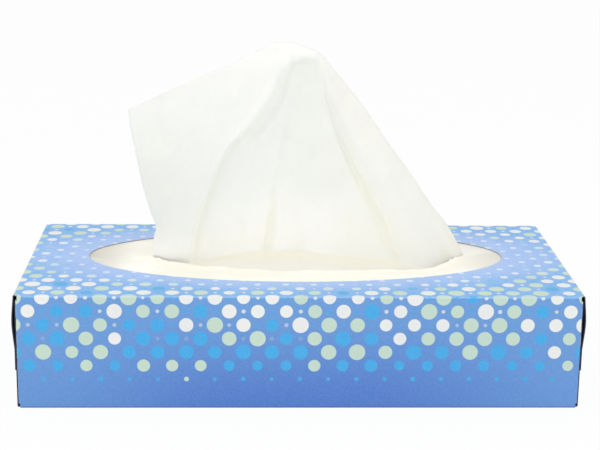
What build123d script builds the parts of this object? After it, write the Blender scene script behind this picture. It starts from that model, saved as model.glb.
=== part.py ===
from build123d import *

import os

# A flat carton of facial tissues with one sheet standing out of its oval opening.
# Sizes are in millimetres. X runs along the carton, Y from its front panel to its
# back panel, and Z is up. The origin is the middle of the carton's bottom face.

# ---- carton: folding board --------------------------------------------------
length = 230.0  # front and back panels, between their end folds
depth = 115.0  # over the front and back panels
height = 48.0  # over the bottom and top panels
board = 0.45  # thickness of the folding board
fold_radius = 0.70  # outside radius of every fold
fold_lap = 1.0  # straight run of a flap that lies in its panel

seam_tab = 18.0  # glue tab of the back seam, up from the bottom
seam_edge_lift = 0.3  # cut edge of the back panel above the bottom fold

dust_length = 40.0  # dust flaps, in from the front and back panels
dust_gap = 1.5  # dust flaps clear of the bottom and top, over the board
dust_taper = 3.0  # narrowing of the dust flaps towards their free end, each side
dust_corner = 6.0  # rounding of the dust flaps' free corners

layer_gap = 0.2  # between the dust flaps and the bottom flap
flap_inset = 1.5  # end flaps narrower than the carton, each side
bottom_flap_gap = 2.5  # bottom flap's free edge below the top panel
top_flap_length = 32.0  # outer end flap, down from the top
top_flap_glued = 9.0  # lowest part of it, flat on the bottom flap
flap_bulge = 1.1  # how far the outer end flap bows out
bulge_radius = 40.0  # bend of the bow
glue_bend_radius = 8.0  # bend where the bow meets the glued part

# ---- carton: oval opening ---------------------------------------------------
border_end = 24.0  # top panel left beyond each end of the oval
border_front = 21.0  # top panel left in front of the oval
border_back = 13.0  # top panel left behind the oval
nib_count = 96  # torn bridges left along the rim by the perforation
nib_radius = 0.3

# ---- window film under the top panel ----------------------------------------
film = 0.05
film_margin_x = 9.0  # glued border beyond the oval's ends
film_margin_y = 6.0  # glued border beyond the oval's sides
film_corner = 4.0
slit_length = 168.0
slit_room = 6.0  # opened slit's edge clear of the pleats, each side

# ---- tissues ----------------------------------------------------------------
end_room = 9.55  # stack clear of the end flaps, each end
side_room = 4.1  # stack clear of the front and back, each side
headroom = 8.6  # stack's top below the top panel
stack_corner = 3.0  # rounding of the stack's folded long edges

ply_pair = 0.2  # thickness of one sheet
tail_fold_radius = 0.7  # outside radius of the sheet's fold on the stack
tail_inset = 1.5  # sheet's folds and edges inside the stack's sides
tail_front = 16.0  # upper layer's edge in front of the slit
pleat_depth = 10.0  # front to back, over the pleats in the slit
pleat_radius = 1.5
sheet_left = 0.73  # sheet's left edge in the slit, as a share of half its length
sheet_right = 0.88  # sheet's right edge in the slit, as a share of half its length

corner_x = -72.8  # free corner of the sheet
corner_rise = 66.0  # above the top panel
peak_x = -6.0
peak_rise = 95.0
shoulder_x = 8.5  # where the top edge turns down to the right
shoulder_rise = 90.5
left_edge_bow = 2.5  # hollow of the free left edge

# ---- worked out -------------------------------------------------------------
centre_radius = fold_radius - board / 2
panel_end = length / 2 - fold_radius
flat_start = length / 2 - fold_radius - fold_lap

front_y = -depth / 2 + board / 2
back_y = depth / 2 - board / 2
tab_y = back_y - board
tab_root = fold_radius + seam_edge_lift / 2
bottom_z = board / 2
top_z = height - board / 2

dust_low = board + dust_gap
dust_high = height - board - dust_gap
dust_x = length / 2 - board / 2
flap_half_width = depth / 2 - flap_inset
bottom_flap_x = length / 2 + layer_gap + board / 2
bottom_flap_top = height - board - bottom_flap_gap
top_flap_x = bottom_flap_x + board
top_flap_end = height - top_flap_length
glue_top = top_flap_end + top_flap_glued
bulge_z = (top_z + glue_top) / 2

oval_length = length - 2 * border_end
oval_width = depth - border_front - border_back
oval_shift = (border_front - border_back) / 2

film_base = height - board - film
slit_half = slit_length / 2
slit_y = oval_shift
slit_gape = pleat_depth / 2 + slit_room

stack_length = length - 2 * (board + end_room)
stack_depth = depth - 2 * (2 * board + side_room)
stack_top = height - board - headroom
stack_height = stack_top - board

tail_back = stack_depth / 2 - tail_inset
tail_turn = tail_fold_radius - ply_pair / 2
tail_lower_z = stack_top + ply_pair / 2
tail_upper_z = tail_lower_z + 2 * tail_turn
wall_base = tail_upper_z - ply_pair / 4

os.makedirs("parts", exist_ok=True)


# ---- carton: one piece of board, folded and glued ---------------------------
with BuildPart() as carton:
    # The tube: the glue tab's fold, bottom, front, top and back panel in one run, then
    # the tab, which lies glued on the inside of the back panel.
    with BuildSketch(Plane.YZ):
        with BuildLine():
            FilletPolyline(
                (tab_y, tab_root),
                (tab_y, bottom_z),
                (front_y, bottom_z),
                (front_y, top_z),
                (back_y, top_z),
                (back_y, fold_radius + seam_edge_lift),
                radius=centre_radius,
            )
        trace(line_width=board)
        with Locations((tab_y, (tab_root + seam_tab) / 2)):
            Rectangle(board, seam_tab - tab_root)
    extrude(amount=panel_end, both=True)

    for end in (-1, 1):
        # Dust flaps, folded in from the front and back panels: a fold and a tapered flap.
        for side in (-1, 1):
            root_y = side * (depth / 2 - fold_radius - fold_lap)
            free_y = side * (depth / 2 - dust_length)
            with BuildSketch(Plane.XY.offset(dust_low)):
                with BuildLine():
                    FilletPolyline(
                        (end * flat_start, side * back_y),
                        (end * dust_x, side * back_y),
                        (end * dust_x, root_y),
                        radius=centre_radius,
                    )
                trace(line_width=board)
            extrude(amount=dust_high - dust_low)
            with BuildSketch(Plane.YZ.offset(end * dust_x - board / 2)):
                with BuildLine():
                    outline = FilletPolyline(
                        (root_y, dust_low),
                        (free_y, dust_low + dust_taper),
                        (free_y, dust_high - dust_taper),
                        (root_y, dust_high),
                        radius=dust_corner,
                    )
                    Line(outline @ 1, outline @ 0)
                make_face()
            extrude(amount=board)

        # Bottom flap, turned up over the dust flaps.
        with BuildSketch(Plane.XZ):
            with BuildLine():
                FilletPolyline(
                    (end * flat_start, bottom_z),
                    (end * bottom_flap_x, bottom_z),
                    (end * bottom_flap_x, bottom_flap_top),
                    radius=centre_radius,
                )
            trace(line_width=board)
        extrude(amount=flap_half_width, both=True)

        # Top flap, turned down outermost, bowed out and glued at its lower part.
        with BuildSketch(Plane.XZ):
            with BuildLine():
                FilletPolyline(
                    (end * flat_start, top_z),
                    (end * top_flap_x, top_z),
                    (end * (top_flap_x + flap_bulge), bulge_z),
                    (end * top_flap_x, glue_top),
                    (end * top_flap_x, top_flap_end),
                    radius=[centre_radius, bulge_radius, glue_bend_radius],
                )
            trace(line_width=board)
        extrude(amount=flap_half_width, both=True)

    # The oval, torn out along a perforation that leaves small nibs on the rim.
    rim = Edge.make_ellipse(oval_length / 2, oval_width / 2, Plane((0, oval_shift, 0)))
    nibs = [rim.position_at(i / nib_count) for i in range(nib_count)]
    with BuildSketch(Plane.XY.offset(height - board)):
        with Locations((0, oval_shift)):
            Ellipse(oval_length / 2, oval_width / 2)
        with Locations(*nibs):
            Circle(nib_radius, mode=Mode.SUBTRACT)
    extrude(amount=board, mode=Mode.SUBTRACT)

carton.part.label = "carton"
export_step(carton.part, "parts/carton.step")


# ---- window film: glued under the top panel, its slit pushed open -----------
with BuildPart() as window_film:
    with BuildSketch(Plane.XY.offset(film_base)):
        with Locations((0, oval_shift)):
            RectangleRounded(
                oval_length + 2 * film_margin_x,
                oval_width + 2 * film_margin_y,
                film_corner,
            )
        with BuildLine():
            ThreePointArc((-slit_half, slit_y), (0, slit_y + slit_gape), (slit_half, slit_y))
            ThreePointArc((slit_half, slit_y), (0, slit_y - slit_gape), (-slit_half, slit_y))
        make_face(mode=Mode.SUBTRACT)
    extrude(amount=film)

window_film.part.label = "window_film"
export_step(window_film.part, "parts/window_film.step")


# ---- tissue stack: interfolded sheets, resting on the carton's bottom -------
with BuildPart() as tissue_stack:
    with BuildSketch(Plane.YZ):
        with Locations((0, board + stack_height / 2)):
            RectangleRounded(stack_depth, stack_height, stack_corner)
    extrude(amount=stack_length / 2, both=True)

tissue_stack.part.label = "tissue_stack"
export_step(tissue_stack.part, "parts/tissue_stack.step")


# ---- popped tissue: one sheet, half out through the slit, half on the stack --
# Pleats of the sheet in the slit: along it as a share of half its length, and
# across it as a share of the pleats' depth.
pleats = [
    (-0.90, -0.05),
    (-0.71, -0.30),
    (-0.17, 0.50),
    (-0.22, -0.45),
    (0.01, 0.50),
    (0.36, -0.40),
    (0.64, -0.40),
    (0.90, 0.10),
]
pleat_points = [(x * slit_half, slit_y + y * pleat_depth) for x, y in pleats]
base_left = -sheet_left * slit_half
base_right = sheet_right * slit_half

with BuildPart() as popped_tissue:
    # The part that stands: pleated in plan, then cut to the sheet's outline.
    with BuildSketch(Plane.XY.offset(wall_base)):
        with BuildLine():
            FilletPolyline(*pleat_points, radius=pleat_radius)
        trace(line_width=ply_pair)
    extrude(amount=height + peak_rise - wall_base)
    with BuildSketch(Plane.XZ.offset(-depth / 2)):
        with BuildLine():
            left = ThreePointArc(
                (base_left, height),
                ((base_left + corner_x) / 2 + left_edge_bow, height + corner_rise / 2),
                (corner_x, height + corner_rise),
            )
            Polyline(
                left @ 1,
                (peak_x, height + peak_rise),
                (shoulder_x, height + shoulder_rise),
                (base_right, height),
                (base_right, wall_base),
                (base_left, wall_base),
                left @ 0,
            )
        make_face()
    extrude(amount=depth, mode=Mode.INTERSECT)

    # The part that lies: back from the slit on the stack, then forward under itself.
    with BuildSketch(Plane.YZ):
        with BuildLine():
            Line((slit_y - tail_front, tail_upper_z), (tail_back, tail_upper_z))
            ThreePointArc(
                (tail_back, tail_upper_z),
                (tail_back + tail_turn, tail_lower_z + tail_turn),
                (tail_back, tail_lower_z),
            )
            Line((tail_back, tail_lower_z), (-tail_back, tail_lower_z))
        trace(line_width=ply_pair)
    extrude(amount=stack_length / 2, both=True)

popped_tissue.part.label = "popped_tissue"
export_step(popped_tissue.part, "parts/popped_tissue.step")
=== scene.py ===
import logging
import math
from dataclasses import dataclass
from enum import Enum

import bmesh
import bpy
import numpy as np
from mathutils import Matrix, Vector


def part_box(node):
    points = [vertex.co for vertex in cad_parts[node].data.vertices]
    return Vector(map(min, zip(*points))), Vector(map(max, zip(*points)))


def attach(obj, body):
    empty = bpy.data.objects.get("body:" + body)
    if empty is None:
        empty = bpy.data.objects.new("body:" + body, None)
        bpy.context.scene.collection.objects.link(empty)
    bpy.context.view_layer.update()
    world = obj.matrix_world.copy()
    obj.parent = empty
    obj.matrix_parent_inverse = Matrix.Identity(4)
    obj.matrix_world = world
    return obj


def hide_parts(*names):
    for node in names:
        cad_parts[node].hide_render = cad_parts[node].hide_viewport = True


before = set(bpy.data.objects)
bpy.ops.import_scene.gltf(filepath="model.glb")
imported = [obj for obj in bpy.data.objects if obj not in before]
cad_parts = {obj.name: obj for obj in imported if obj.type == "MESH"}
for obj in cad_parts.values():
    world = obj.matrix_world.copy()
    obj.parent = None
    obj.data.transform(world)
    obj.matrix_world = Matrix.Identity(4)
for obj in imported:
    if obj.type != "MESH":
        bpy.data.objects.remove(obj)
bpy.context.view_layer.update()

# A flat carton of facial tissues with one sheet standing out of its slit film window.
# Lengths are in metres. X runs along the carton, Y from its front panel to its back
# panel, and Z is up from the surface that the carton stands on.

MM = 0.001
log = logging.getLogger("tissue_box")

Colour = tuple[float, float, float]
Piece = bpy.types.Object
Socket = bpy.types.NodeSocket


def srgb(red: int, green: int, blue: int) -> Colour:
    """Turn display values from 0 to 255 into linear ones, by the sRGB curve."""
    def linear(value: int) -> float:
        """Turn one display value into a linear one."""
        share = value / 255
        return share / 12.92 if share <= 0.04045 else ((share + 0.055) / 1.055) ** 2.4

    return linear(red), linear(green), linear(blue)


class Slot(Enum):
    """Material slots of the part."""

    BOARD = "printed_board"
    FILM = "clear_film"
    TISSUE = "tissue_paper"


class Graph:
    """A shader node tree, with short ways to add nodes and join them."""

    def __init__(self, owner: bpy.types.Material | bpy.types.World) -> None:
        """Empty the owner's tree and take it as this graph's own."""
        owner.use_nodes = True
        self.owner = owner
        self.tree = owner.node_tree
        self.tree.nodes.clear()

    def add(self, kind: str, **settings: object) -> bpy.types.Node:
        """Add a shader node of a kind, such as "Math", with these properties."""
        node = self.tree.nodes.new("ShaderNode" + kind)
        for key, value in settings.items():
            setattr(node, key, value)
        return node

    def feed(self, socket: Socket, value: object) -> None:
        """Give an input socket a link from another socket, a number or a colour."""
        if isinstance(value, Socket):
            self.tree.links.new(value, socket)
        elif isinstance(value, tuple) and len(value) == 3 and socket.type == "RGBA":
            socket.default_value = (*value, 1.0)
        else:
            socket.default_value = value

    def math(self, operation: str, *values: object, clamp: bool = False) -> Socket:
        """Add a math node and give its result; clamp keeps that from 0 to 1."""
        node = self.add("Math", operation=operation, use_clamp=clamp)
        for socket, value in zip(node.inputs, values):
            self.feed(socket, value)
        return node.outputs[0]

    def vector(self, operation: str, *values: object) -> Socket:
        """Add a vector math node and give its result, a number for LENGTH."""
        node = self.add("VectorMath", operation=operation)
        for socket, value in zip(node.inputs, values):
            self.feed(socket, value)
        return node.outputs["Value" if operation == "LENGTH" else "Vector"]

    def step(self, value: object, low: float, high: float, bottom: float = 0.0,
             top: float = 1.0) -> Socket:
        """Ease a value smoothly from bottom to top as it goes from low to high."""
        node = self.add("MapRange", interpolation_type="SMOOTHSTEP", clamp=True)
        for socket, number in zip(node.inputs, (value, low, high, bottom, top)):
            self.feed(socket, number)
        return node.outputs[0]

    def blend(self, share: object, first: object, second: object) -> Socket:
        """Blend two colours; share is the second one's share."""
        node = self.add("Mix", data_type="RGBA")
        self.feed(node.inputs["Factor"], share)
        self.feed(node.inputs[6], first)
        self.feed(node.inputs[7], second)
        return node.outputs[2]

    def noise(self, place: object, scale: float, detail: float = 3.0,
              roughness: float = 0.5) -> Socket:
        """Add a noise texture of scale grains a metre, from 0 to 1, with detail octaves."""
        node = self.add("TexNoise")
        for key, value in (("Vector", place), ("Scale", scale), ("Detail", detail),
                           ("Roughness", roughness)):
            self.feed(node.inputs[key], value)
        return node.outputs[0]

    def bump(self, height: object, strength: float, distance: float,
             normal: object = None) -> Socket:
        """Add a bump from a height of 0 to 1, distance metres high, on top of normal."""
        node = self.add("Bump")
        for key, value in (("Strength", strength), ("Distance", distance), ("Height", height)):
            self.feed(node.inputs[key], value)
        if normal is not None:
            self.feed(node.inputs["Normal"], normal)
        return node.outputs[0]

    def place(self) -> Socket:
        """Give the Object coordinates."""
        return self.add("TexCoord").outputs["Object"]

    def split(self, vector: object) -> list[Socket]:
        """Split a vector into its three numbers."""
        node = self.add("SeparateXYZ")
        self.feed(node.inputs[0], vector)
        return list(node.outputs)

    def join(self, *values: object) -> Socket:
        """Join up to three numbers into a vector."""
        node = self.add("CombineXYZ")
        for socket, value in zip(node.inputs, values):
            self.feed(socket, value)
        return node.outputs[0]

    def surface(self, **inputs: object) -> bpy.types.Node:
        """Add the main shader and join it; inputs are named with underscores for spaces."""
        shader = self.add("BsdfPrincipled")
        for key, value in inputs.items():
            self.feed(shader.inputs[key.replace("_", " ")], value)
        output = self.add("OutputMaterial")
        self.tree.links.new(shader.outputs[0], output.inputs["Surface"])
        return shader

    def times(self, first: object, *others: object) -> Socket:
        """Multiply two or more values."""
        for value in others:
            first = self.math("MULTIPLY", first, value)
        return first

    def less(self, value: object) -> Socket:
        """Give 1 less a value."""
        return self.math("SUBTRACT", 1.0, value)

    def seen(self) -> Socket:
        """Give 1 for rays from the camera, a mirror or a clear surface, and 0 for others."""
        path = self.add("LightPath").outputs
        return self.math("MAXIMUM", path["Is Camera Ray"], self.math(
            "MAXIMUM", path["Is Glossy Ray"], path["Is Transmission Ray"]))

    def mixed(self, share: object, first: bpy.types.Node, second: bpy.types.Node,
              output: str) -> None:
        """Mix two shader nodes by the second one's share and join them to a new output."""
        mix = self.add("MixShader")
        for socket, value in zip(mix.inputs, (share, first.outputs[0], second.outputs[0])):
            self.feed(socket, value)
        self.tree.links.new(mix.outputs[0], self.add(output).inputs["Surface"])


# ---- finishes ----


@dataclass(frozen=True)
class PrintedBoard:
    """Varnished folding board: a blue ground with a staggered lattice of round dots."""

    half_length: float = 115 * MM
    half_depth: float = 57.5 * MM
    height: float = 48 * MM
    fold: float = 0.7 * MM
    skin: float = 0.12 * MM
    board: float = 0.45 * MM
    oval_half_length: float = 91 * MM
    oval_half_width: float = 40.5 * MM
    oval_shift: float = 4 * MM
    pitch: float = 8.2 * MM
    edge: float = 0.12 * MM
    dot_radii: tuple[float, float] = (1.25 * MM, 3.0 * MM)
    speck_radii: tuple[float, float] = (0.35 * MM, 0.8 * MM)
    least_size: float = 0.8
    size_spread: float = 0.36
    fade_heights: tuple[float, float] = (0.5, 1.15)
    fade_depth: float = -3.2
    sky_odds: tuple[float, float] = (0.12, 0.85)
    green_from: float = 0.62
    haze_reach: float = 1.5
    grow_reach: float = 1.55
    top_print_and_reflection: Colour = srgb(109, 172, 232)
    ground_haze: Colour = srgb(164, 192, 241)
    ground_front: Colour = srgb(97, 150, 210)
    ground_low: Colour = srgb(66, 116, 196)
    white: Colour = srgb(231, 232, 228)
    green: Colour = srgb(192, 215, 196)
    sky: Colour = srgb(46, 164, 224)
    tint: Colour = srgb(205, 222, 250)
    raw_edge: Colour = srgb(160, 146, 128)
    inside: Colour = srgb(224, 220, 210)
    fibre: Colour = srgb(120, 106, 92)
    painted_end_shade: Colour = srgb(40, 44, 62)
    painted_contact_shadow: Colour = srgb(44, 74, 134)

    def unfolded(self, g: Graph, x: object, y: object, z: object,
                 normal_x: object) -> tuple[object, object]:
        """Lay the outside of the carton out flat.

        Args:
            g: Graph to add to.
            x: Object coordinate along the carton.
            y: Object coordinate across it.
            z: Object coordinate up it.
            normal_x: Normal along X.

        Returns:
            Distance along the carton and round it: on the top x and y, and beyond its
            edges the drop below the top is added.
        """
        drop = g.math("SUBTRACT", self.height, z)
        side = g.math("SIGN", y)
        out = g.math("SUBTRACT", g.math("ABSOLUTE", y), self.half_depth - self.fold)
        on_side = g.step(out, 0.0, self.fold * 0.6)
        round_it = g.math("ADD", y, g.times(side, on_side, drop))
        on_end = g.math("GREATER_THAN", g.math("ABSOLUTE", normal_x), 0.7)
        along = g.math("ADD", x, g.times(g.math("SIGN", x), on_end, drop))
        return along, round_it

    def ring(self, g: Graph, x: object, y: object) -> object:
        """Give the distance from the oval's middle as a share of the oval."""
        return g.vector("LENGTH", g.join(
            g.math("DIVIDE", x, self.oval_half_length),
            g.math("DIVIDE", g.math("SUBTRACT", y, self.oval_shift), self.oval_half_width)))

    def dots(self, g: Graph, along: object, round_it: object, offset: float,
             sizes: tuple[float, float]) -> tuple[object, object, object, object]:
        """Lay round dots on a square lattice turned by 45 degrees.

        Args:
            g: Graph to add to.
            along: Distance along the carton.
            round_it: Distance round it.
            offset: Shift of the lattice, in pitches.
            sizes: Smallest and largest radius.

        Returns:
            Cover from 0 to 1, a random number for each dot, the drop of its centre
            below the front fold, and its distance from the oval's middle as a share of
            the oval. A point takes the dot of its nearest lattice point.
        """
        half = math.sqrt(0.5)
        turned = []
        for sign in (1.0, -1.0):
            run = g.math("MULTIPLY_ADD", round_it, sign, along)
            turned.append(g.math("MULTIPLY_ADD", run, half / self.pitch, offset))
        cells = [g.math("ROUND", value) for value in turned]
        gaps = [g.math("SUBTRACT", value, cell) for value, cell in zip(turned, cells)]
        away = g.times(g.vector("LENGTH", g.join(*gaps)), self.pitch)
        centre = [g.math("SUBTRACT", cell, offset) for cell in cells]
        centre_along = g.times(g.math("ADD", *centre), half * self.pitch)
        centre_round = g.times(g.math("SUBTRACT", *centre), half * self.pitch)
        dice = g.add("TexWhiteNoise", noise_dimensions="3D")
        g.feed(dice.inputs["Vector"], g.join(*cells, offset))
        small, large = sizes
        low = g.math("SUBTRACT", -self.half_depth, centre_round)
        start, end = self.fade_heights
        fade = g.step(low, start * self.height, end * self.height, large, self.fade_depth * small)
        ring = self.ring(g, centre_along, centre_round)
        near = g.step(ring, 1.0, self.grow_reach, small, large)
        size = g.math("MULTIPLY_ADD", dice.outputs["Color"], self.size_spread, self.least_size)
        radius = g.times(g.math("MINIMUM", fade, near), size)
        cover = g.step(g.math("SUBTRACT", radius, away), -self.edge, self.edge)
        return cover, dice.outputs[0], low, ring

    def build(self) -> bpy.types.Material:
        """Make the material.

        Returns:
            The material. Print shows on the outer skin, which lies within a hair of a
            rounded box; deeper faces and cut edges show raw board, but beyond the ends they
            are painted near black as shade.
        """
        g = Graph(bpy.data.materials.new("printed_board"))
        place = g.place()
        x, y, z = g.split(place)
        normal = g.split(g.add("TexCoord").outputs["Normal"])
        along, round_it = self.unfolded(g, x, y, z, normal[0])

        ground = g.blend(g.step(round_it, -self.half_depth - self.height, -self.half_depth),
                         self.ground_low, self.ground_front)
        sides = g.step(g.math("ABSOLUTE", x), 0.2 * self.half_length, self.half_length)
        ground = g.blend(g.times(sides, 0.75), ground, self.ground_front)
        # The top panel's lighter ground is partly its print and partly a painted reflection of the
        # bright surroundings.
        on_top = g.step(z, self.height - self.fold, self.height)
        ground = g.blend(on_top, ground, self.top_print_and_reflection)
        haze = g.times(g.step(self.ring(g, x, y), 1.0, self.haze_reach, 1.0, 0.0), on_top)
        ground = g.blend(g.times(haze, 0.85), ground, self.ground_haze)

        cover, dice, low, ring = self.dots(g, along, round_it, 0.0, self.dot_radii)
        ink = g.blend(g.math("GREATER_THAN", dice, self.green_from), self.white, self.green)
        sky_odds = g.step(low, 0.1 * self.height, 0.8 * self.height, *self.sky_odds)
        ink = g.blend(g.math("LESS_THAN", dice, sky_odds), ink, self.sky)
        ink = g.blend(g.step(ring, 1.08, 1.42, 0.9, 0.0), ink, self.tint)
        ground = g.blend(cover, ground, ink)
        small, dice, low, ring = self.dots(g, along, round_it, 0.5, self.speck_radii)
        ink = g.blend(g.math("GREATER_THAN", dice, 0.5), self.sky, self.white)
        small = g.times(small, g.step(low, 0.0, 0.5 * self.height, 0.85, 0.0))
        ground = g.blend(small, ground, ink)

        grain = g.noise(place, 2600.0, 2.0)
        ground = g.blend(g.step(grain, 0.35, 0.75, 0.0, 0.07), ground, self.white)
        cloud = g.noise(place, 18.0, 2.0)
        ground = g.blend(g.step(cloud, 0.4, 0.7, 0.0, 0.06), ground, self.ground_low)

        deep = [g.math("SUBTRACT", g.math("ABSOLUTE", value), size - self.fold)
                for value, size in ((x, self.half_length), (y, self.half_depth),
                                    (g.math("SUBTRACT", z, self.height / 2), self.height / 2))]
        out = [g.math("MAXIMUM", value, 0.0) for value in deep]
        inner = g.math("MINIMUM", g.math("MAXIMUM", deep[0], g.math("MAXIMUM", *deep[1:])), 0.0)
        skin = g.math("ADD", g.math("SUBTRACT", g.vector("LENGTH", g.join(*out)), self.fold), inner)
        # Partly wear and partly painted highlight: the rounded folds are lightened patchily towards
        # the pale tint.
        fold = g.times(g.step(g.math("MINIMUM", *deep[1:]), 0.0, 0.25 * self.fold),
                       g.math("GREATER_THAN", skin, -self.skin))
        fold_wear_and_highlight = g.step(g.noise(place, 420.0, 4.0, 0.65), 0.35, 0.7, 0.05, 0.35)
        ground = g.blend(g.times(fold, fold_wear_and_highlight), ground, self.tint)
        # Painted contact shadow: the print darkens to navy along the bottom edge, where the carton
        # meets the floor.
        ground = g.blend(g.step(z, 0.35 * MM, 0.9 * MM, 0.85, 0.0), ground, self.painted_contact_shadow)

        beyond = g.math("GREATER_THAN", deep[0], self.fold + 0.05 * MM)
        facing = g.math("GREATER_THAN", g.times(normal[0], g.math("SIGN", x)), 0.3)
        half = g.math("SIGN", g.math("SUBTRACT", z, self.height / 2))
        upward = g.math("GREATER_THAN", g.times(normal[2], half), 0.3)
        at_fold = g.times(upward, g.math("GREATER_THAN", deep[2], -0.02 * MM))
        showing = g.math("MAXIMUM", facing, at_fold)
        hidden = g.times(beyond, g.less(showing))
        printed = g.times(g.math("GREATER_THAN", skin, -self.skin), g.less(hidden))
        fibre = g.noise(place, 900.0, 5.0, 0.7)
        raw = g.blend(g.math("LESS_THAN", skin, 0.05 * MM - self.board), self.raw_edge, self.inside)
        raw = g.blend(g.step(fibre, 0.3, 0.7, 0.0, 0.3), raw, self.fibre)
        # Painted shade: the flaps' cut edges and inner faces beyond the carton's ends are painted
        # near black instead of raw board.
        raw = g.blend(beyond, raw, self.painted_end_shade)
        colour = g.blend(printed, raw, ground)

        matt = g.times(g.less(printed), 0.4)
        rough = g.math("ADD", g.step(g.noise(place, 160.0, 3.0), 0.3, 0.7, 0.36, 0.46), matt)
        waves = g.bump(g.noise(place, 32.0, 1.0), 0.35, 0.5 * MM)
        normal_out = g.bump(fibre, 0.1, 0.05 * MM, waves)
        g.surface(Base_Color=colour, Roughness=rough, Normal=normal_out, Specular_IOR_Level=0.5)
        return g.owner


@dataclass(frozen=True)
class TissuePaper:
    """Soft two-ply tissue: cream white, matt, finely crimped and faintly mottled."""

    name: str = "tissue_paper"
    high: Colour = srgb(243, 243, 233)
    low: Colour = srgb(255, 254, 245)
    mottle: Colour = srgb(240, 241, 234)
    warm_below: float = 56 * MM
    cool_above: float = 88 * MM
    crimps: float = 1500.0
    layered: bool = False
    # folded adds painted shade and highlight to the sheet's folds, hollows and ridges.
    folded: bool = False
    layer_pitch: float = 0.22 * MM
    shade: Colour = srgb(248, 241, 217)
    painted_hollow_shade: Colour = srgb(242, 240, 223)
    painted_deep_shade: Colour = srgb(232, 234, 226)
    painted_ridge_highlight: Colour = srgb(252, 252, 246)
    painted_away_shade: Colour = srgb(227, 227, 211)
    painted_crown_highlight: Colour = srgb(250, 250, 241)
    painted_right_shade: Colour = srgb(245, 242, 222)

    def paint_fold_light_and_shade(self, g: Graph, colour: object) -> Socket:
        """Paint shade into the sheet's hollows, lower left, middle, right and lowest part.

        Args:
            g: Graph to add to.
            colour: The colour so far.

        Returns:
            The colour, read from the piece's own hollow attribute, Object coordinates
            and UV map. Ridges and the crown get a painted highlight.
        """
        hollow = g.add("Attribute", attribute_name="hollow").outputs["Fac"]
        x, _, z = g.split(g.place())
        # Painted shade in the hollows, greyer higher up.
        tint = g.blend(g.step(z, 72 * MM, 96 * MM), self.painted_hollow_shade, self.painted_deep_shade)
        colour = g.blend(g.step(hollow, 0.52, 0.92, 0.0, 0.75), colour, tint)
        # Painted highlight on the ridges.
        colour = g.blend(g.step(hollow, 0.1, 0.48, 0.3, 0.0), colour, self.painted_ridge_highlight)
        # Painted shade on the lower left wing, which turns away from the light.
        low_wing_shade = g.times(g.step(x, -66 * MM, -16 * MM, 0.65, 0.0),
                           g.step(z, 74 * MM, 132 * MM, 1.0, 0.0),
                           g.step(z, 50 * MM, 64 * MM, 0.2, 1.0))
        colour = g.blend(low_wing_shade, colour, self.painted_away_shade)
        # Painted highlight on the crown.
        colour = g.blend(g.step(z, 128 * MM, 137 * MM, 0.0, 0.8), colour, self.painted_crown_highlight)
        # Painted warm shade on the right part of the sheet.
        colour = g.blend(g.step(x, 8 * MM, 26 * MM, 0.0, 0.55), colour, self.painted_right_shade)
        # Painted shade on the middle of the sheet.
        middle = g.times(g.step(x, -10 * MM, 6 * MM, 0.0, 0.3),
                         g.step(x, 15 * MM, 28 * MM, 1.0, 0.0), g.step(z, 66 * MM, 82 * MM),
                         g.step(z, 118 * MM, 130 * MM, 1.0, 0.0))
        colour = g.blend(middle, colour, self.painted_away_shade)
        v = g.split(g.add("UVMap").outputs[0])[1]
        below = g.times(g.step(v, 0.59, 0.603, 1.0, 0.0), g.step(v, 0.5, 0.58, 0.35, 1.0),
                        g.step(x, 28 * MM, 58 * MM, 0.85, 0.4))
        return g.blend(below, colour, self.shade)

    def build(self) -> bpy.types.Material:
        """Make the material.

        Returns:
            The material. Its colour is painted light and shade, greyer above the height
            cool_above and warmer and lighter below warm_below, and its bump is fine crimps,
            fibres and soft crumples.
        """
        g = Graph(bpy.data.materials.new(self.name))
        place = g.place()
        x, y, z = g.split(place)
        # Painted light and shade: the paper is greyer up high and warmer and lighter low down.
        colour = g.blend(g.step(z, self.warm_below, self.cool_above), self.low, self.high)
        colour = g.blend(g.step(g.noise(place, 260.0, 5.0, 0.7), 0.4, 0.75, 0.0, 0.2),
                         colour, self.mottle)
        if self.folded:
            colour = self.paint_fold_light_and_shade(g, colour)
        crimp = g.add("TexWave", wave_type="BANDS", bands_direction="Z")
        for key, value in (("Vector", place), ("Scale", self.crimps / 6.0),
                           ("Distortion", 6.0), ("Detail", 3.0), ("Detail Scale", 2.0)):
            g.feed(crimp.inputs[key], value)
        fibres = g.noise(place, 3200.0, 4.0, 0.7)
        streaks = g.noise(g.join(x, y, g.times(z, 0.3)), 420.0, 3.0, 0.6)
        normal = None
        for height, strength, deep in (
                (g.noise(place, 75.0, 3.0, 0.55), 0.12, 0.8 * MM), (streaks, 0.3, 0.14 * MM),
                (crimp.outputs["Fac"], 0.12, 0.05 * MM), (fibres, 0.25, 0.04 * MM)):
            normal = g.bump(height, strength, deep, normal)
        if self.layered:
            layers = g.math("PINGPONG", z, self.layer_pitch)
            normal = g.bump(g.math("DIVIDE", layers, self.layer_pitch), 0.8, 0.15 * MM, normal)
        rough = g.step(fibres, 0.2, 0.8, 0.86, 0.98)
        g.surface(Base_Color=colour, Roughness=rough, Normal=normal, Specular_IOR_Level=0.2,
                  Subsurface_Weight=0.5, Subsurface_Radius=(1.0, 0.9, 0.7),
                  Subsurface_Scale=1.5 * MM, Sheen_Weight=0.15, Sheen_Roughness=0.6)
        return g.owner


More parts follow.
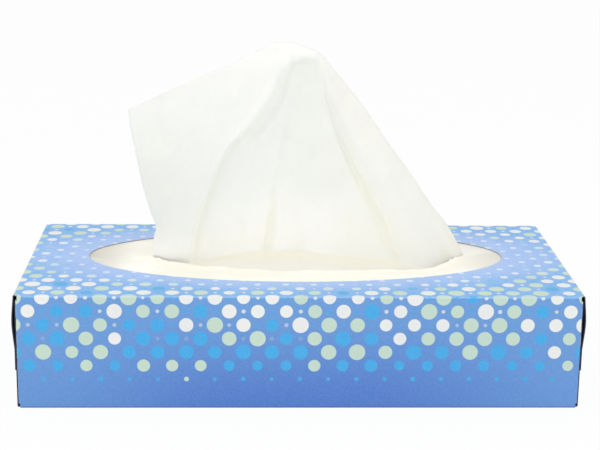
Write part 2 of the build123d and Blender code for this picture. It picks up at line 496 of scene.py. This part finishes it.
@dataclass(frozen=True)
class HazyFilm:
    """Thin hazy film: milky, clearer towards the oval's ends, with a soft shine."""

    colour: Colour = srgb(251, 248, 236)
    crinkled: Colour = srgb(253, 252, 244)
    milky: float = 1.0
    crinkle_gain: float = 0.07
    left_clear: float = 0.48
    right_clear: float = 0.34

    def build(self) -> bpy.types.Material:
        """Make the material; its cover falls towards the two ends of the oval."""
        g = Graph(bpy.data.materials.new("clear_film"))
        place = g.place()
        x, y, z = g.split(place)
        wrinkle = g.noise(g.join(g.times(x, 0.5), y, z), 90.0, 1.0, 0.4)
        fine = g.noise(place, 260.0, 1.0)
        milk = g.step(wrinkle, 0.42, 0.72)
        colour = g.blend(milk, self.colour, self.crinkled)
        cover = g.math("MULTIPLY_ADD", milk, self.crinkle_gain, self.milky)
        ends = g.math("MAXIMUM", g.step(x, -93 * MM, -69 * MM, self.left_clear, 0.0),
                      g.step(x, 64 * MM, 93 * MM, 0.0, self.right_clear))
        cover = g.math("SUBTRACT", cover, ends, clamp=True)
        normal = g.bump(wrinkle, 0.12, 0.3 * MM)
        normal = g.bump(fine, 0.06, 0.03 * MM, normal)
        rough = g.step(fine, 0.3, 0.7, 0.3, 0.4)
        g.surface(Base_Color=colour, Roughness=rough, Normal=normal, Alpha=cover,
                  Specular_IOR_Level=0.4, IOR=1.5)
        return g.owner


@dataclass(frozen=True)
class StagePaper:
    """Pale paper of the floor, white to the camera but for the object's shadow."""

    colour: Colour = (0.9, 0.9, 0.9)
    white_share: float = 0.93

    def build(self) -> bpy.types.Material:
        """Make the material; the camera sees white_share of plain white in it."""
        g = Graph(bpy.data.materials.new("stage_paper"))
        paper = g.add("BsdfDiffuse")
        tooth = g.noise(g.place(), 120.0, 3.0)
        g.feed(paper.inputs["Color"], g.blend(g.step(tooth, 0.3, 0.7, 0.0, 0.03),
                                             self.colour, (0.8, 0.8, 0.8)))
        glow = g.add("Emission")
        glow.inputs["Strength"].default_value = 1.0
        g.mixed(g.times(g.seen(), self.white_share), paper, glow, "OutputMaterial")
        return g.owner


# ---- meshes ----


def around(grid: np.ndarray, axis: int) -> np.ndarray:
    """Stack each cell's four corners, in order round it, on a new axis."""
    return np.stack([grid[:-1, :-1], grid[:-1, 1:], grid[1:, 1:], grid[1:, :-1]], axis=axis)


def grid_piece(name: str, points: np.ndarray, closed: bool = False,
               v: np.ndarray | None = None) -> Piece:
    """Make a mesh object from a grid of points.

    Args:
        name: Name of the piece.
        points: Array of rows by columns by 3, in metres.
        closed: Join each row's last column to its first.
        v: The UV map's v of each row, or None for even steps.

    Returns:
        The object, smooth shaded, with a UV map that runs from 0 to 1 both ways.
    """
    rows, columns = points.shape[:2]
    index = np.arange(rows * columns).reshape(rows, columns)
    if closed:
        index = np.concatenate([index, index[:, :1]], axis=1)
    corners = around(index, -1)
    mesh = bpy.data.meshes.new(name)
    mesh.from_pydata(points.reshape(-1, 3).tolist(), [], corners.reshape(-1, 4).tolist())
    up = np.linspace(0, 1, index.shape[0]) if v is None else v
    uv = np.stack(np.meshgrid(np.linspace(0, 1, index.shape[1]), up), axis=-1)
    loops = around(uv, -2)
    layer = mesh.uv_layers.new(name="UVMap")
    layer.data.foreach_set("uv", loops.reshape(-1).astype(np.float32))
    mesh.polygons.foreach_set("use_smooth", np.ones(len(mesh.polygons), bool))
    mesh.update()
    piece = bpy.data.objects.new(name, mesh)
    bpy.context.scene.collection.objects.link(piece)
    return piece


def thicken(piece: Piece, thickness: float) -> None:
    """Give a sheet its thickness, in metres, half to each side, and close its edges."""
    wall = piece.modifiers.new("thickness", "SOLIDIFY")
    wall.thickness = thickness
    wall.offset = 0.0
    wall.use_rim = True


def close_holes(piece: Piece) -> None:
    """Fill a piece's open rings and point its faces outwards."""
    work = bmesh.new()
    work.from_mesh(piece.data)
    rims = [edge for edge in work.edges if edge.is_boundary]
    bmesh.ops.holes_fill(work, edges=rims, sides=0)
    bmesh.ops.recalc_face_normals(work, faces=work.faces)
    work.to_mesh(piece.data)
    work.free()


def square_reach(cos: np.ndarray, sin: np.ndarray, power: float) -> np.ndarray:
    """Give a rounded square's reach each way, 1 along the axes; power sharpens its corners."""
    return (np.abs(cos) ** power + np.abs(sin) ** power) ** (-1 / power)


def ease(value: np.ndarray, low: float, high: float) -> np.ndarray:
    """Ease smoothly from 0 at low to 1 at high: 3 t squared less 2 t cubed."""
    share = np.clip((value - low) / (high - low), 0.0, 1.0)
    return share * share * (3 - 2 * share)


def ripple(first: np.ndarray, second: np.ndarray, seed: int, waves: int,
           length: float) -> np.ndarray:
    """Add up waves of random direction and phase.

    Args:
        first: First coordinate, in metres.
        second: Second coordinate, in metres.
        seed: Seed of the random draws.
        waves: Number of waves.
        length: Middle wave length, in metres.

    Returns:
        The sum of sines, scaled to lie mostly from -1 to 1.
    """
    draw = np.random.default_rng(seed)
    total = np.zeros_like(first)
    for _ in range(waves):
        turn = draw.uniform(0, math.pi)
        size = length * draw.uniform(0.55, 1.8)
        phase = draw.uniform(0, 2 * math.pi)
        run = math.cos(turn) * first + math.sin(turn) * second
        total += np.sin(2 * math.pi * run / size + phase)
    return total / math.sqrt(waves)


# ---- carton ----


@dataclass
class Carton:
    """The folded and glued carton, kept as it is and dressed."""

    finish: PrintedBoard = PrintedBoard()

    def build(self) -> Piece:
        """Dress the carton and give its own object."""
        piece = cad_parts["carton"]
        piece.data.materials.clear()
        piece.data.materials.append(self.finish.build())
        return piece


# ---- window film ----


@dataclass
class WindowFilm:
    """The film glued under the top panel, pushed open and crinkled along its slit."""

    slit_left: float = -63.1 * MM
    slit_right: float = 74.8 * MM
    oval_half_length: float = 91 * MM
    oval_half_width: float = 40.5 * MM
    oval_y: float = 4 * MM
    sag: float = 1.9 * MM
    sag_from: float = 0.35
    crinkle: float = 0.5 * MM
    crinkle_shares: tuple[float, float] = (0.6, 0.25)
    gather: float = 1.3 * MM
    gather_reach: float = 13 * MM
    gather_place: tuple[float, float] = (70 * MM, 2 * MM)
    gather_centre: float = 50 * MM
    gather_ends: tuple[tuple[int, float], ...] = ((-1, 1.0), (1, 0.55))
    tent: float = 2.4 * MM
    tent_reach: float = 6 * MM
    tent_place: tuple[float, float] = (-64 * MM, -3 * MM)
    lift: float = 0.5 * MM
    lift_reach: float = 0.05
    most_rise: float = 2.6 * MM
    rise_fade: tuple[float, float] = (0.74, 0.95)
    gap: float = 0.03 * MM
    corner_power: float = 9.0
    spokes: int = 640
    rings: int = 60
    ring_power: float = 1.2
    thickness: float = 0.05 * MM
    finish: HazyFilm = HazyFilm()

    def points(self) -> np.ndarray:
        """Work out the film's grid.

        Returns:
            Array of rings by spokes by 3. Each spoke runs from the opened slit's lip to
            the film's rounded rectangle. The film sags towards the slit, is crinkled by
            waves, is gathered in short rays round the two ends of the slit, and is
            drawn up into a low tent at the sheet's left edge.
        """
        low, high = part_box("window_film")
        turn = np.linspace(0, 2 * np.pi, self.spokes, endpoint=False)[None, :]
        share = np.linspace(0, 1, self.rings)[:, None] ** self.ring_power
        cos, sin = np.cos(turn), np.sin(turn)
        lens_x = ((self.slit_left + self.slit_right) + (self.slit_right - self.slit_left) * cos) / 2
        lens_y = np.where(sin < 0, along_line(FRONT_LIP, lens_x), along_line(BACK_LIP, lens_x))
        centre_y = (low.y + high.y) / 2
        reach = square_reach(cos, sin, self.corner_power)
        rim_x = (high.x - low.x) / 2 * cos * reach
        rim_y = centre_y + (high.y - low.y) / 2 * sin * reach
        x = lens_x + (rim_x - lens_x) * share
        y = lens_y + (rim_y - lens_y) * share
        oval = np.hypot(x / self.oval_half_length, (y - self.oval_y) / self.oval_half_width)
        inside = 1 - ease(oval, self.sag_from, 1.0)
        level = high.z - self.gap
        z = level - self.sag * inside
        waves = ripple(x, y * 0.6, 3, 12, 22 * MM)
        tight = ripple(x, y, 8, 12, 7 * MM)
        wide_share, tight_share = self.crinkle_shares
        z = z + self.crinkle * (wide_share * waves + tight_share * tight) * inside
        for end, strength in self.gather_ends:
            away = np.hypot(x - end * self.gather_place[0], y - self.gather_place[1])
            angle = np.arctan2(y - self.gather_place[1], end * (x - end * self.gather_centre))
            rays = np.sin(17 * angle + 2.2 * np.sin(5 * angle)) + 0.6 * np.sin(31 * angle + 1.0)
            fall = np.exp(-(away / self.gather_reach) ** 2)
            z = z + strength * self.gather * rays * fall * inside
        away = np.hypot((x - self.tent_place[0]) / 1.3, y - self.tent_place[1])
        z = z + self.tent * np.exp(-(away / self.tent_reach) ** 1.5)
        at_lip = np.exp(-(share / self.lift_reach) ** 2)
        z = z + self.lift * at_lip * (1 + 0.6 * ripple(x, y, 21, 6, 18 * MM))
        z = np.minimum(z, level + self.most_rise * (1 - ease(oval, *self.rise_fade)))
        return np.stack([x, y, z], axis=-1)

    def build(self) -> Piece:
        """Make the film and give its object."""
        piece = grid_piece("window_film_sheet", self.points(), closed=True)
        thicken(piece, self.thickness)
        piece.data.materials.append(self.finish.build())
        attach(piece, "root")
        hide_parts("window_film")
        return piece


# ---- tissue stack ----


@dataclass
class TissueStack:
    """The pack of interfolded sheets, with its layers showing on every side."""

    layers: int = 84
    layer_depth: float = 0.16 * MM
    corner: float = 3.0 * MM
    wander: float = 0.25 * MM
    corner_power: float = 26.0
    layer_rows: int = 4
    cap_rings: int = 14
    columns: int = 240
    finish: TissuePaper = TissuePaper(name="stacked_tissue", layered=True)

    def points(self) -> np.ndarray:
        """Work out the pack's grid.

        Returns:
            Array of rows by columns by 3. Each row is a level outline, a rounded
            rectangle that is stepped in and out once a sheet; the first and last rows
            close to the middle of the bottom and the top.
        """
        low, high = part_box("tissue_stack")
        rows = self.layers * self.layer_rows
        level = np.linspace(0, 1, rows)[:, None]
        turn = np.linspace(0, 2 * np.pi, self.columns, endpoint=False)[None, :]
        cos, sin = np.cos(turn), np.sin(turn)
        reach = square_reach(cos, sin, self.corner_power)
        step = self.layer_depth * (0.5 + 0.5 * np.sin(2 * np.pi * level * self.layers))
        wander = self.wander * ripple(level * 30 * MM + 0 * turn, turn * 9 * MM, 5, 8, 9 * MM)
        edge = np.minimum(level, 1 - level) * (high.z - low.z)
        round_in = self.corner * (1 - np.sqrt(np.clip(
            1 - (1 - np.clip(edge / self.corner, 0, 1)) ** 2, 0, 1)))
        inset = step + round_in + np.abs(wander)
        x = ((high.x - low.x) / 2 - inset) * cos * reach
        y = ((high.y - low.y) / 2 - inset) * sin * reach
        z = np.broadcast_to(low.z + level * (high.z - low.z), x.shape)
        wall = np.stack([x, y, z], axis=-1)
        shrink = np.linspace(0.02, 1, self.cap_rings)[:, None, None]
        ends = []
        for ring in (wall[0], wall[-1]):
            cap = ring[None] * np.array([1.0, 1.0, 0.0]) * shrink
            cap[..., 2] = ring[0, 2]
            ends.append(cap[:-1])
        return np.concatenate([ends[0], wall, ends[1][::-1]])

    def build(self) -> Piece:
        """Make the pack and give its object."""
        piece = grid_piece("tissue_pack", self.points(), closed=True)
        close_holes(piece)
        piece.data.materials.append(self.finish.build())
        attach(piece, "root")
        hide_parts("tissue_stack")
        return piece


# ---- standing sheet ----


Point = tuple[float, float, float]


def slopes_of(stations: np.ndarray, values: np.ndarray) -> np.ndarray:
    """Work out slopes that make a smooth curve without overshoot.

    Args:
        stations: Rising places of the points, one number each.
        values: Values there; the first axis goes with the stations.

    Returns:
        Slopes. Each is the harmonic mean of the slopes of the two runs beside the
        point, or 0 where those differ in sign; the ends take their own run's slope.
    """
    gaps = np.diff(stations).reshape(-1, *([1] * (values.ndim - 1)))
    runs = np.diff(values, axis=0) / gaps
    before, after = runs[:-1], runs[1:]
    same = before * after > 0
    total = np.where(same, before + after, 1.0)
    inner = np.where(same, 2 * before * after / total, 0.0)
    return np.concatenate([runs[:1], inner, runs[-1:]])


def flow(stations: np.ndarray, values: np.ndarray, at: np.ndarray) -> np.ndarray:
    """Carry a smooth curve through points.

    Args:
        stations: Rising places of the points.
        values: Values there; the first axis goes with the stations.
        at: Places to work the curve out at.

    Returns:
        Values at those places: a cubic on each run, with the slopes of slopes_of.
    """
    slopes = slopes_of(stations, values)
    run = np.clip(np.searchsorted(stations, at, side="right") - 1, 0, len(stations) - 2)
    shape = (-1, *([1] * (values.ndim - 1)))
    gap = (stations[run + 1] - stations[run]).reshape(shape)
    t = (at - stations[run]).reshape(shape) / gap
    first, second = values[run], values[run + 1]
    leave, arrive = slopes[run] * gap, slopes[run + 1] * gap
    return ((2 * t ** 3 - 3 * t ** 2 + 1) * first + (t ** 3 - 2 * t ** 2 + t) * leave
            + (3 * t ** 2 - 2 * t ** 3) * second + (t ** 3 - t ** 2) * arrive)


def along_line(line: tuple[tuple[float, float], ...], x: np.ndarray) -> np.ndarray:
    """Read a line's second coordinate, in metres, at x, in metres; the line is in mm."""
    points = np.array(line, float) * MM
    return np.interp(x, points[:, 0], points[:, 1])


# The film's two lips in plan, (x, y) in millimetres: the opened slit.
FRONT_LIP: tuple[tuple[float, float], ...] = (
    (-63.1, -2.8), (-62.3, -4.0), (-51, -6.1), (-38, -7.8), (-25, -11), (-9, -13.7), (5.5, -14.2),
    (20, -13.9), (38, -14.3), (53, -14.6), (59, -12.5), (65, -5.6), (70.5, 3.6), (74.8, 8.0),
)
BACK_LIP: tuple[tuple[float, float], ...] = (
    (-63.1, -2.8), (-61.5, -0.4), (-55, 4.4), (-40, 10), (0, 15.5), (40, 16.5), (62, 14),
    (72, 11), (74.8, 8.0),
)


@dataclass
class StandingSheet:
    """One sheet, half standing out of the slit and half lying on the stack.

    The standing half is carried through guide lines that run up it from foot to upper
    edge, from its free left edge to its right edge, as (x, y, z) in millimetres: left
    edge, wing, rolled ridge, recess, centre crease, middle, right valley, right face.
    """

    lip_z: float = 45.2 * MM
    lip_gap: float = 0.2 * MM
    least_run: float = 0.3 * MM
    rise_power: float = 1.3
    sheet_width: float = 210 * MM
    sheet_length: float = 205 * MM
    columns: int = 205
    rows: int = 140
    skirt_rows: int = 12
    spread: int = 14
    crumples: tuple[float, float] = (0.26 * MM, 0.09 * MM)
    free_heights: tuple[float, float] = (48 * MM, 70 * MM)
    crown_heights: tuple[float, float] = (118 * MM, 138 * MM)
    crown_calm: float = 0.7
    hidden_rows: int = 56
    blend_rows: int = 7
    blend_turns: int = 6
    turn: float = 0.6 * MM
    back_room: float = 1.2 * MM
    stack_gap: float = 0.1 * MM
    drop_run: float = 2.5 * MM
    side_room: float = 2 * MM
    widening: tuple[float, float] = (0.05, 0.42)
    drop_end: float = 0.12
    out_end: float = 0.48
    turn_end: float = 0.53
    cavity_reach: int = 5
    cavity_spread: int = 7
    cavity_depth: float = 1.6 * MM
    thickness: float = 0.14 * MM
    finish: TissuePaper = TissuePaper(folded=True)

    guides: tuple[tuple[Point, ...], ...] = (
        ((-62.4, -2.4, 46.9), (-62.2, -4.4, 57.5), (-61.1, -5.4, 63), (-63, -6.6, 69.4),
         (-66.8, -8.2, 83.6), (-69.2, -8, 96.3), (-71.6, -6.5, 108), (-72.2, -5.5, 114.7)),
        ((-57, -3.4, 46.8), (-57.3, -6.2, 60), (-58, -8, 75), (-58.6, -7.5, 90),
         (-58.6, -5.5, 106), (-57, -2, 121.4)),
        ((-53, -3.9, 46.7), (-51.5, -6.3, 62), (-49, -7.5, 80), (-46, -6.5, 96),
         (-43, -4.5, 111), (-38, -1, 130)),
        ((-50, -4, 46.6), (-47.7, -6.4, 62), (-43, -7.6, 80), (-37, -7.6, 96), (-29, -6, 112),
         (-22, -3, 127), (-15.4, 1, 140.1)),
        ((-47.5, -3.6, 46.6), (-44.7, -6.2, 63), (-39, -7.6, 80), (-31.5, -8.8, 97.5),
         (-21, -7.5, 110), (-14.5, -5.5, 119), (-11.4, -3.5, 126), (-10.4, -1, 134),
         (-9.3, 1.6, 142.8)),
        ((-45.2, -1.0, 46.9), (-42.2, -2.6, 63), (-36.4, -2.9, 80), (-29, -3.6, 97),
         (-16.8, -2.6, 109.5), (-10.4, -0.6, 119), (-7.4, -0.6, 127), (-5.2, -1.6, 134.6),
         (-3.5, 2.6, 142.9)),
        ((-39, 0.6, 47.4), (-36, -1.9, 63), (-30, -1.7, 80), (-22.5, 0.2, 96), (-10.5, 3.4, 110),
         (-5.4, 5.4, 120), (-3.4, 6, 129), (-1.6, 0, 136), (0.2, 2.8, 141.8)),
        ((-25, 3.2, 49.7), (-23.5, 1.7, 63), (-19.5, 1.9, 82), (-13, 3.2, 98), (-5.5, 5, 112),
         (-1.4, 6.8, 122), (0, 7.2, 130.4), (1.2, 0.8, 136.9), (2.6, 3, 140.8)),
        ((-15.6, 4.6, 50.9), (-14.4, 3.9, 60), (-12.6, 3.8, 70), (-9.9, 4.5, 85),
         (-6.2, 5.6, 101), (-1.5, 6.6, 114), (1.4, 7.4, 124), (3, 7.2, 131), (3.9, 1.4, 136.9),
         (4.6, 3.2, 139.9)),
        ((-14.2, 6.0, 50.6), (-13.0, 5.5, 60), (-11.2, 5.2, 70), (-8.8, 5.2, 85),
         (-5.2, 5.8, 101), (-0.7, 6.7, 114), (2.2, 7.5, 124), (3.8, 7.2, 131), (4.6, 1.5, 136.8),
         (5.2, 3.3, 139.8)),
        ((-10.2, 5.4, 50.2), (-9.2, 5.6, 60), (-6.0, 5.5, 82), (-1.8, 6, 100), (2.4, 6.8, 114),
         (4.8, 7.6, 125), (5.5, 7, 131.4), (5.8, 1.8, 136.6), (6, 3.4, 139.5)),
        ((-0.9, 4.4, 50.9), (0.3, 5.1, 61), (2.6, 5.6, 80), (4.8, 6.2, 100), (6.6, 7, 115),
         (7, 7.4, 125), (6.9, 6.6, 131), (6.8, 2.2, 136), (6.9, 3.5, 139.1)),
        ((18, -0.5, 49.6), (16.8, 3.4, 62), (14.4, 5, 80), (11.6, 6.2, 100), (9.6, 7, 115),
         (8.6, 7, 125), (8.1, 5.8, 131), (7.8, 2.8, 135.6), (7.8, 3.6, 138.7)),
        ((36, -4, 49.3), (32, 1.5, 62), (25, 4.6, 80), (16.9, 6.2, 100), (12, 6.8, 115),
         (9.6, 6.6, 125), (8.6, 5.2, 131), (8.5, 3.8, 135), (8.6, 3.8, 138.2)),
        ((42.5, -4.6, 49.3), (37.4, 1.9, 62), (28, 5.8, 80), (18.4, 7, 99), (12.9, 7.1, 114),
         (10.4, 6.4, 125), (9.5, 4.8, 131), (9.3, 4, 135), (9.4, 4, 137.6)),
        ((45.8, -6.6, 49.0), (40.8, -1.2, 62), (31, 2.4, 80), (20.9, 4.8, 99), (14.7, 5.8, 114),
         (11.7, 5.6, 124.5), (10.6, 4.6, 131), (10.2, 4.2, 134.5), (10.2, 4.2, 136.9)),
        ((56, -9.4, 46.8), (49.5, -3.4, 62), (38.5, -0.2, 80), (26.3, 2.4, 99), (17.5, 4.2, 114),
         (13.4, 4.9, 124.5), (11.8, 4.6, 130), (11, 4.4, 134), (10.9, 4.4, 136.2)),
        ((67, 0.5, 46.8), (61, 1.8, 58), (48.6, 3.6, 77), (35, 5.2, 97), (22.6, 6.2, 113),
         (15.6, 6.2, 124.5), (12.8, 5.4, 130), (11.6, 5, 133.8), (11.5, 4.8, 135.6)),
        ((74.3, 8, 48.3), (67.3, 8, 60.6), (60.1, 8.5, 69.5), (49.7, 9, 84.6), (39.5, 9.5, 98.4),
         (29.2, 9.5, 113.1), (19.2, 8.4, 125.8), (14.6, 6.6, 131.5), (12.3, 5.4, 134.7)),
    )

    def standing(self) -> np.ndarray:
        """Work out the standing half's grid.

        Returns:
            Array of rows by columns by 3, from the foot up. Each guide is a smooth
            curve by its own length, and a row is a smooth curve across the guides by
            the mean distance between them, with small crumples across the sheet.
        """
        share = np.linspace(0, 1, self.rows)
        lines = []
        for guide in self.guides:
            points = np.array(guide, float) * MM
            run = np.concatenate([[0], np.cumsum(np.linalg.norm(np.diff(points, axis=0), axis=1))])
            lines.append(flow(run / run[-1], points, share))
        net = np.stack(lines)
        gaps = np.linalg.norm(np.diff(net, axis=0), axis=2).mean(axis=1)
        stations = np.concatenate([[0], np.cumsum(gaps)])
        points = flow(stations, net, np.linspace(0, stations[-1], self.columns))
        points = points.transpose(1, 0, 2)
        x, y, z = points[..., 0], points[..., 1], points[..., 2]
        calm = 1 - self.crown_calm * ease(z, *self.crown_heights)
        free = ease(z, *self.free_heights) * calm
        wide, fine = self.crumples
        crumple = wide * ripple(x, z, 11, 16, 17 * MM) + fine * ripple(x, z, 4, 22, 6 * MM)
        points[..., 1] = y + crumple * (0.3 + 0.7 * free)
        return points

    def skirt(self, foot: np.ndarray) -> np.ndarray:
        """Work out the part between the film's front lip and the foot.

        Args:
            foot: The standing half's lowest row, columns by 3.

        Returns:
            Array of rows by columns by 3, from the lip up to just below the foot. At
            the lip x is the foot's, averaged over the columns near it. From there x
            eases as the share squared, y as the share, and the height as the share to
            rise_power.
        """
        share = np.linspace(0, 1, self.skirt_rows + 1)[:-1, None]
        near = 2 * self.spread + 1
        pad = np.pad(foot[:, 0], self.spread, mode="reflect", reflect_type="odd")
        lip_x = np.convolve(pad, np.ones(near) / near, mode="valid")
        lip_y = along_line(FRONT_LIP, lip_x) + self.lip_gap
        lip_y = np.minimum(lip_y, foot[:, 1] - self.least_run)
        x = lip_x + (foot[:, 0] - lip_x) * share ** 2
        y = lip_y + (foot[:, 1] - lip_y) * share
        z = self.lip_z + (foot[:, 2] - self.lip_z) * share ** self.rise_power
        return np.stack(np.broadcast_arrays(x, y, z), axis=-1)

    def hidden(self, lip: np.ndarray) -> np.ndarray:
        """Work out the hidden half's grid.

        Args:
            lip: The skirt's lowest row, columns by 3.

        Returns:
            Array of rows by columns by 3, from the far edge to just below the lip.
            From the lip the sheet drops to the stack, runs back on it, turns under
            itself in a half circle and runs forward; it spreads to its full width as
            it goes.
        """
        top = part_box("tissue_stack")[1].z
        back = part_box("popped_tissue")[1].y - self.back_room
        lower = top + self.stack_gap
        upper = lower + 2 * self.turn
        share = np.linspace(0, 1, self.hidden_rows + 1)[1:, None]
        ends = (0, self.drop_end, self.out_end, self.turn_end, 1)
        drop, out, bend, forth = (np.clip((share - start) / (end - start), 0, 1)
                                  for start, end in zip(ends, ends[1:]))
        bend = bend * np.pi
        start_y, start_z = lip[None, :, 1], lip[None, :, 2]
        y = start_y + self.drop_run * ease(drop, 0, 1)
        y = y + (back - start_y - self.drop_run) * out
        y = y + self.turn * np.sin(bend) - (2 * back - 1.0 * MM) * forth
        z = start_z + (upper - start_z) * ease(drop, 0, 1)
        z = np.where(bend > 0, lower + self.turn * (1 + np.cos(bend)), z)
        full = np.linspace(-0.5, 0.5, lip.shape[0])[None, :] * (self.sheet_width - 2 * self.side_room)
        x = lip[None, :, 0] + (full - lip[None, :, 0]) * ease(share, *self.widening)
        return np.stack(np.broadcast_arrays(x, y, z), axis=-1)[::-1]

    def cavity(self, points: np.ndarray) -> np.ndarray:
        """Work out how hollow the sheet is at each point, seen from the front.

        Args:
            points: The sheet's grid.

        Returns:
            Values from 0 to 1, 0.5 where flat: y less the mean of y one reach to the
            left and right along the row, averaged along the row, over a set depth.
        """
        reach = self.cavity_reach
        y = np.pad(points[..., 1], ((0, 0), (reach, reach)), mode="edge")
        mean = (y[:, 2 * reach:] + y[:, :-2 * reach]) / 2
        hollow = points[..., 1] - mean
        kernel = np.ones(self.cavity_spread) / self.cavity_spread
        hollow = np.apply_along_axis(np.convolve, 1, hollow, kernel, mode="same")
        return np.clip(0.5 + hollow / self.cavity_depth, 0, 1)

    def build(self) -> Piece:
        """Make the sheet.

        Returns:
            The sheet's object. Its UV map's v is 0.5 at the film's lip, 0.6 at the
            foot and 1 at the upper edge.
        """
        standing = self.standing()
        skirt = self.skirt(standing[0])
        points = np.concatenate([self.hidden(skirt[0]), skirt, standing])
        foot = self.hidden_rows + self.skirt_rows
        for _ in range(self.blend_turns):
            near = points[foot - self.blend_rows:foot + self.blend_rows + 1]
            near[1:-1] = near[1:-1] / 2 + (near[:-2] + near[2:]) / 4
        v = np.concatenate([np.linspace(0, 0.5, self.hidden_rows, endpoint=False),
                            np.linspace(0.5, 0.6, self.skirt_rows, endpoint=False),
                            np.linspace(0.6, 1, self.rows)])
        piece = grid_piece("standing_sheet", points, v=v)
        # The hollow attribute steers the finish's painted shade in hollows and painted highlight on
        # ridges.
        hollow = piece.data.attributes.new("hollow", "FLOAT", "POINT")
        hollow.data.foreach_set("value", self.cavity(points).reshape(-1).astype(np.float32))
        thicken(piece, self.thickness)
        piece.data.materials.append(self.finish.build())
        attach(piece, "root")
        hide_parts("popped_tissue")
        return piece


# ---- studio ----


@dataclass
class Softbox:
    """A square area lamp aimed at the object."""

    name: str
    place: tuple[float, float, float]
    size: float
    power: float

    def build(self, target: Vector) -> None:
        """Make the lamp and aim it at the target point."""
        lamp = bpy.data.lights.new(self.name, "AREA")
        lamp.size = self.size
        lamp.energy = self.power
        holder = bpy.data.objects.new(self.name, lamp)
        holder.location = self.place
        holder.rotation_euler = (target - Vector(self.place)).to_track_quat("-Z", "Y").to_euler()
        bpy.context.scene.collection.objects.link(holder)


@dataclass
class Studio:
    """White floor, soft lamps and the camera."""

    floor_size: float = 8.0
    camera_place: tuple[float, float, float] = (-0.0237, -0.6670, 0.2380)
    yaw: float = math.radians(-2.15)
    pitch: float = math.radians(14.70)
    roll: float = math.radians(0.775)
    lens: float = 94.76
    ambient: float = 0.8
    lamps: tuple[Softbox, ...] = (
        Softbox("left_softbox", (-0.85, -0.65, 0.70), 0.6, 1.8),
        Softbox("front_softbox", (0.15, -1.35, 0.45), 0.8, 2.7),
        Softbox("top_softbox", (-0.1, -0.1, 1.1), 0.8, 1.3),
        Softbox("right_softbox", (0.9, -0.5, 0.6), 0.6, 1.0),
    )
    floor_finish: StagePaper = StagePaper()

    def camera(self) -> None:
        """Place the camera: turned by yaw, pitched down, then rolled about its own view."""
        ahead_flat = Vector((-math.sin(self.yaw), math.cos(self.yaw), 0))
        right_flat = Vector((math.cos(self.yaw), math.sin(self.yaw), 0))
        up_axis = Vector((0, 0, 1))
        ahead = math.cos(self.pitch) * ahead_flat - math.sin(self.pitch) * up_axis
        up_flat = math.sin(self.pitch) * ahead_flat + math.cos(self.pitch) * up_axis
        right = math.cos(self.roll) * right_flat + math.sin(self.roll) * up_flat
        up = -math.sin(self.roll) * right_flat + math.cos(self.roll) * up_flat
        data = bpy.data.cameras.new("camera")
        data.lens = self.lens
        data.sensor_width = 36.0
        data.clip_start = 0.01
        holder = bpy.data.objects.new("camera", data)
        turn = Matrix((right, up, -ahead)).transposed()
        holder.matrix_world = Matrix.Translation(self.camera_place) @ turn.to_4x4()
        bpy.context.scene.collection.objects.link(holder)
        bpy.context.scene.camera = holder

    def world(self) -> None:
        """Light everything softly, and show white to the camera and to mirror rays."""
        g = Graph(bpy.data.worlds.new("studio"))
        soft, white = (g.add("Background") for _ in range(2))
        for node, strength in ((soft, self.ambient), (white, 1.0)):
            g.feed(node.inputs["Color"], (1.0, 1.0, 1.0))
            g.feed(node.inputs["Strength"], strength)
        g.mixed(g.seen(), soft, white, "OutputWorld")
        bpy.context.scene.world = g.owner

    def floor(self) -> None:
        """Lay the floor, a flat grid a hair below the carton."""
        side = np.linspace(-self.floor_size / 2, self.floor_size / 2, 9)
        x, y = np.meshgrid(side, side)
        piece = grid_piece("floor", np.stack([x, y, np.full_like(x, -0.02 * MM)], axis=-1))
        piece.data.materials.append(self.floor_finish.build())

    def build(self) -> None:
        """Set up the camera, the world, the floor, the lamps and the view transform."""
        self.camera()
        self.world()
        self.floor()
        for lamp in self.lamps:
            lamp.build(Vector((0, 0, 0.06)))
        bpy.context.scene.view_settings.view_transform = "Standard"


def clear_defaults() -> None:
    """Remove the objects that a new file comes with."""
    for name in ("Cube", "Light", "Camera"):
        if name in bpy.data.objects:
            bpy.data.objects.remove(bpy.data.objects[name])


def main() -> None:
    """Build and report every piece in order."""
    logging.basicConfig(level=logging.INFO, format="%(name)s: %(message)s")
    clear_defaults()
    Studio().build()
    for maker in (Carton(), TissueStack(), WindowFilm(), StandingSheet()):
        piece = maker.build()
        log.info("%s: %d faces", piece.name, len(piece.data.polygons))


if __name__ == "__main__":
    main()
